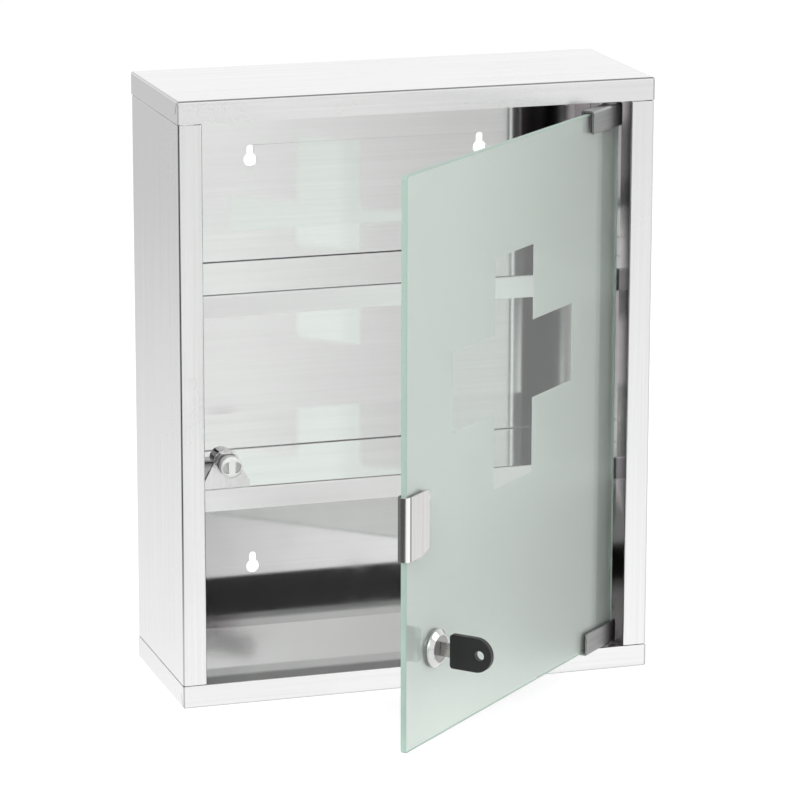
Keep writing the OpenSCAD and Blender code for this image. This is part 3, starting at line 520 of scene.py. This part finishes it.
FINISHES = {
    "top_cap": sideways, "bottom_cap": sideways, "left_side": upright, "right_side": upright,
    "back_panel": panel, "upper_shelf": shelf, "lower_shelf": shelf,
    "top_hinge_bracket": bracket, "bottom_hinge_bracket": bracket,
    "top_pivot_bush": nylon, "bottom_pivot_bush": nylon, "thrust_washers": nylon,
    "catch_bracket": catch_sheet, "catch_housing": catch_body, "catch_barrel": white_plastic,
    "catch_nut": bright_nut, "catch_magnet": magnet, "catch_poles": pole_metal,
    "door_glass": glass, "frosted_film": frost,
    "top_hinge_clip": clip, "bottom_hinge_clip": clip,
    "top_clip_gasket": rubber, "bottom_clip_gasket": rubber,
    "clamp_screws": plated, "top_pivot_pin": plated, "bottom_pivot_pin": plated,
    "pull_handle": handle, "handle_gasket": rubber,
    "lock_barrel": chrome, "rim_gasket": rubber, "nut_washer": plated, "lock_nut": plated,
    "lock_plug": plug_metal, "lock_cam": cam_metal, "cam_washer": plated, "cam_screw": plated,
    "lock_wafers": brass, "key_blade": key_metal, "key_head": black_plastic,
}
for name, material in FINISHES.items():
    frame["nodes"][name].data.materials[0] = material


# ---------------------------------------------------------------- pieces

def arc(centre, radius, start, end, steps):
    """Points on a circle from start to end degrees, ends included."""
    turns = [math.radians(start + (end - start) * i / steps) for i in range(steps + 1)]
    return [(centre[0] + radius * math.cos(a), centre[1] + radius * math.sin(a)) for a in turns]


def rounded_rectangle(low, high, radius, steps=8):
    """Corner points of a rectangle with round corners, counter-clockwise."""
    corners = [((high[0] - radius, low[1] + radius), -90), ((high[0] - radius, high[1] - radius), 0),
               ((low[0] + radius, high[1] - radius), 90), ((low[0] + radius, low[1] + radius), 180)]
    return [point for centre, start in corners for point in arc(centre, radius, start, start + 90, steps)]


def slab(name, outline, holes, y_low, y_high, arris, steps=2):
    """Flat plate in X and Z between two Y faces, with holes and a bevel round every rim."""
    bm = bmesh.new()
    rims = []
    for points in [outline] + holes:
        ring = [bm.verts.new((x, y_low, z)) for x, z in points]
        rims += [bm.edges.new((ring[i], ring[(i + 1) % len(ring)])) for i in range(len(ring))]
    bmesh.ops.triangle_fill(bm, edges=rims, use_beauty=True)
    front = list(bm.faces)
    grown = bmesh.ops.extrude_face_region(bm, geom=front)
    moved = [item for item in grown["geom"] if isinstance(item, bmesh.types.BMVert)]
    bmesh.ops.translate(bm, verts=moved, vec=(0, y_high - y_low, 0))
    bmesh.ops.recalc_face_normals(bm, faces=bm.faces)
    sharp = [edge for edge in bm.edges if edge.calc_face_angle(0) > math.radians(60)]
    bmesh.ops.bevel(bm, geom=sharp, offset=arris, segments=steps, profile=0.5, affect="EDGES")
    mesh = bpy.data.meshes.new(name)
    bm.to_mesh(mesh)
    bm.free()
    return mesh


def place(name, mesh, materials, body, matrix=None, smooth=30):
    """Puts a mesh in the scene as a piece that rides on a CAD body."""
    if matrix is not None:
        mesh.transform(matrix)
    for material in materials:
        mesh.materials.append(material)
    mesh.polygons.foreach_set("use_smooth", [True] * len(mesh.polygons))
    mesh.set_sharp_from_angle(angle=math.radians(smooth))
    piece = bpy.data.objects.new(name, mesh)
    bpy.context.scene.collection.objects.link(piece)
    even_shading(piece)
    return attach(piece, body)


def even_shading(piece):
    """Keeps flat faces flat to the eye beside their rounded edges."""
    even = piece.modifiers.new("even shading", "WEIGHTED_NORMAL")
    even.weight = 100
    even.keep_sharp = True


def soften(node, width, segments=2, limit=35):
    """Rounds the sharp edges of a CAD piece."""
    piece = frame["nodes"][node]
    weld = piece.modifiers.new("weld", "WELD")
    weld.merge_threshold = 0.001 * MM
    bevel = piece.modifiers.new("round edges", "BEVEL")
    bevel.width = width
    bevel.segments = segments
    bevel.limit_method = "ANGLE"
    bevel.angle_limit = math.radians(limit)
    bevel.use_clamp_overlap = True
    even_shading(piece)


def door_pane():
    """Glass of the door, with ground and bevelled edges and the hole for the lock."""
    low, high = shut_box("door_glass")
    lock_low, lock_high = shut_box("lock_plug")
    lock_x = (lock_low.x + lock_high.x) / 2
    lock_z = (lock_low.z + lock_high.z) / 2
    corner_r = 2.0 * MM
    hole_r = 9.7 * MM
    film_gap = 0.02 * MM
    outline = rounded_rectangle((low.x, low.z), (high.x, high.z), corner_r)
    hole = arc((lock_x, lock_z), hole_r, 0, 360 - 360 / 64, 63)
    mesh = slab("door_pane", outline, [hole], low.y, high.y - film_gap, 0.5 * MM)
    for face in mesh.polygons:
        face.material_index = 0 if abs(face.normal.y) > 0.99 else 1
    piece = place("door_pane", mesh, [glass, glass_edge], "door", OPENED)
    piece.visible_shadow = False
    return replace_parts(piece, "door_glass")


for name, width in EDGE_ROUND.items():
    soften(name, width * MM)
door_pane()


# ---------------------------------------------------------------- floor, light and camera

def studio_floor():
    """Plain pale floor. Seen directly it is white and keeps the soft shadow; mirrored, it glows with
    painted shade, dimmer far behind and far ahead and much darker at the left front.
    """
    mesh = bpy.data.meshes.new("studio_floor")
    reach = 12.0
    corners = [(-reach, -reach, 0), (reach, -reach, 0), (reach, reach, 0), (-reach, reach, 0)]
    mesh.from_pydata(corners, [], [(0, 1, 2, 3)])
    floor = bpy.data.objects.new("studio_floor", mesh)
    bpy.context.scene.collection.objects.link(floor)
    floor.location.z = -0.0002
    material, shader, w = blank("pale floor", Base_Color=grey(0.62), Roughness=0.9, Specular_IOR_Level=0.0)
    rays = w.add("ShaderNodeLightPath").outputs
    w.tree.links.new(w.math("MULTIPLY", rays["Is Camera Ray"], 0.5), shader.inputs["Emission Strength"])
    shader.inputs["Emission Color"].default_value = grey(1.0)
    place_on = piece_axes(w)
    # painted shade in the floor's mirrored glow: dimmer far behind and far ahead, much darker at the left
    # front
    near_back = w.spread(place_on["Y"], -0.1, 0.1, 1.0, 0.9)
    far_back = w.spread(place_on["Y"], 0.1, 1.6, 1.0, 0.66)
    ahead = w.spread(place_on["Y"], -2.5, -0.1, 0.76, 1.03)
    far = w.add("ShaderNodeVectorMath", {0: piece_position(w)}, operation="LENGTH").outputs["Value"]
    at_left = w.spread(place_on["X"], -0.2, -0.08, 1, 0)
    painted_left_shade = w.math("MULTIPLY", at_left, w.spread(place_on["Y"], -0.15, -0.02, 1, 0))
    painted_left_shade = w.math("MULTIPLY", painted_left_shade, w.spread(far, 0.3, 0.5))
    level = w.math("MULTIPLY", w.math("MULTIPLY", near_back, far_back), ahead)
    level = w.math("MULTIPLY", level, w.spread(painted_left_shade, 0, 1, 1.0, 0.1))
    glow = w.add("ShaderNodeEmission", {"Color": grey(1.0), "Strength": level})
    mirrored = w.math("MAXIMUM", rays["Is Glossy Ray"], rays["Is Transmission Ray"])
    both = w.add("ShaderNodeMixShader", {0: mirrored, 1: shader.outputs[0], 2: glow.outputs[0]})
    end = next(n for n in w.tree.nodes if n.type == "OUTPUT_MATERIAL")
    w.tree.links.new(both.outputs[0], end.inputs["Surface"])
    mesh.materials.append(material)


def studio_world():
    """White surroundings. Mirrored, they have a darker ceiling and one dark flag at the left."""
    world = bpy.data.worlds.new("studio")
    bpy.context.scene.world = world
    world.use_nodes = True
    w = Wiring(world.node_tree)
    background = world.node_tree.nodes["Background"]
    rays = w.add("ShaderNodeLightPath").outputs
    direction = w.add("ShaderNodeTexCoord").outputs["Generated"]
    parts = w.add("ShaderNodeSeparateXYZ", {"Vector": direction}).outputs
    ceiling = w.spread(parts["Z"], 0.35, 0.8, 1.0, 0.45)
    flag_way = (-0.725, -0.688, 0.0)
    facing = w.add("ShaderNodeVectorMath", {0: direction, 1: flag_way}, operation="DOT_PRODUCT")
    flag = w.spread(facing.outputs["Value"], 0.72, 0.84, 1.0, 0.06)
    mirrored = w.math("MULTIPLY", ceiling, flag)
    mirror_seen = w.math("MAXIMUM", rays["Is Glossy Ray"], rays["Is Transmission Ray"])
    plain = w.spread(rays["Is Camera Ray"], 0, 1, 0.75, 1.0)
    level = w.add("ShaderNodeMix", {0: mirror_seen, 2: plain, 3: mirrored}, data_type="FLOAT").outputs[0]
    w.tree.links.new(level, background.inputs["Strength"])
    background.inputs["Color"].default_value = grey(1.0)


def softbox(name, place_at, aim, width, height, power):
    """Large soft lamp aimed at a point."""
    lamp = bpy.data.lights.new(name, "AREA")
    lamp.shape = "RECTANGLE"
    lamp.size = width
    lamp.size_y = height
    lamp.energy = power
    holder = bpy.data.objects.new(name, lamp)
    holder.location = place_at
    holder.rotation_euler = (Vector(aim) - Vector(place_at)).to_track_quat("-Z", "Y").to_euler()
    bpy.context.scene.collection.objects.link(holder)
    return holder


def camera():
    """Camera at the photograph's place, found from the corners of the cabinet."""
    focal_pixels = 4253
    picture_pixels = 800
    yaw = math.radians(17.52)
    pitch = math.radians(-14.04)
    roll = math.radians(0.12)
    ahead = Vector((math.sin(yaw) * math.cos(pitch), math.cos(yaw) * math.cos(pitch), math.sin(pitch)))
    right = Vector((math.cos(yaw), -math.sin(yaw), 0.0))
    up = right.cross(ahead)
    turned = Matrix((right, up, -ahead)).transposed().to_4x4() @ Matrix.Rotation(roll, 4, "Z")
    data = bpy.data.cameras.new("camera")
    data.sensor_width = 36.0
    data.lens = data.sensor_width * focal_pixels / picture_pixels
    data.clip_start = 0.1
    data.clip_end = 60.0
    eye = bpy.data.objects.new("camera", data)
    eye.matrix_world = Matrix.Translation((-0.819, -2.613, 0.866)) @ turned
    bpy.context.scene.collection.objects.link(eye)
    bpy.context.scene.camera = eye


studio_floor()
studio_world()
softbox("key light", (-1.6, -2.4, 2.3), (0, 0, 0.2), 2.4, 2.4, 50)
softbox("fill light", (2.4, -1.2, 1.3), (0, 0, 0.2), 1.8, 2.2, 20)
left_fill = softbox("left fill", (-2.2, -0.9, 0.9), (0, -0.1, 0.2), 1.6, 1.6, 30)
left_fill.visible_glossy = False
camera()

bpy.context.scene.view_settings.view_transform = "Standard"
